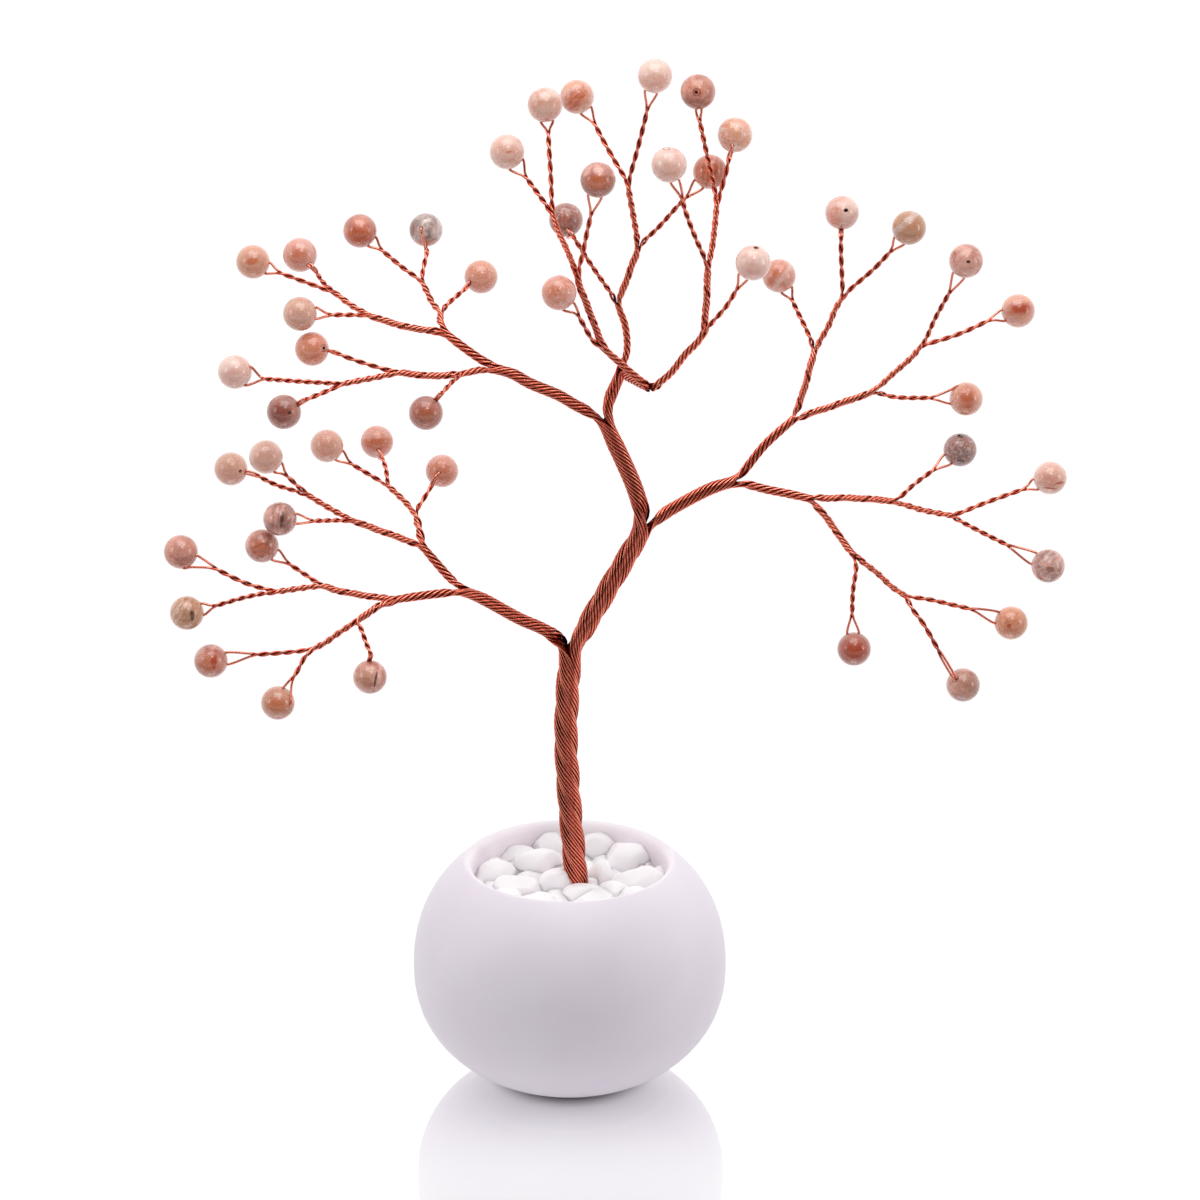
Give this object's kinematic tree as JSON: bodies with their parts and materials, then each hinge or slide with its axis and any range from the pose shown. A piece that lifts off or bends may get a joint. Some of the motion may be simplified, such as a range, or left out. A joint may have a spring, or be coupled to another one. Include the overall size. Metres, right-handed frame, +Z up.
{
  "type": "wire tree sculpture",
  "caption": "Small tree twisted from copper-coloured wire with a round polished stone bead on every twig, standing in a round white pot of white pebbles.",
  "frame": {"origin": "centre of the pot's underside, on the surface the pot stands on", "axes": "+Z up; the tree spreads along X and is seen in the picture from -Y"},
  "size_m": [0.215, 0.077, 0.2522],
  "materials": {
    "ceramic": "satin white, unglazed look",
    "pebble": "tumbled, smooth, white",
    "copper": null,
    "stone_pale": "polished pale pink stone",
    "stone_orange": "polished orange stone",
    "stone_grey": "polished grey brown stone"
  },
  "bodies": {
    "root": {"pot": "ceramic", "pebbles": "pebble", "wire_tree": "copper", "bead_01": "stone_pale", "bead_02": "stone_pale", "bead_03": "stone_pale", "bead_04": "stone_orange", "bead_05": "stone_pale", "bead_06": "stone_pale", "bead_07": "stone_pale", "bead_08": "stone_orange", "bead_09": "stone_orange", "bead_10": "stone_grey", "bead_11": "stone_pale", "bead_12": "stone_pale", "bead_13": "stone_pale", "bead_14": "stone_pale", "bead_15": "stone_pale", "bead_16": "stone_pale", "bead_17": "stone_orange", "bead_18": "stone_pale", "bead_19": "stone_grey", "bead_20": "stone_pale", "bead_21": "stone_pale", "bead_22": "stone_pale", "bead_23": "stone_grey", "bead_24": "stone_grey", "bead_25": "stone_orange", "bead_26": "stone_pale", "bead_27": "stone_pale", "bead_28": "stone_grey", "bead_29": "stone_pale", "bead_30": "stone_pale", "bead_31": "stone_orange", "bead_32": "stone_pale", "bead_33": "stone_grey", "bead_34": "stone_grey", "bead_35": "stone_pale", "bead_36": "stone_pale", "bead_37": "stone_pale", "bead_38": "stone_orange", "bead_39": "stone_orange", "bead_40": "stone_pale", "bead_41": "stone_orange", "bead_42": "stone_pale", "bead_43": "stone_pale", "bead_44": "stone_pale", "bead_45": "stone_orange", "bead_46": "stone_pale"}
  },
  "joints": []
}
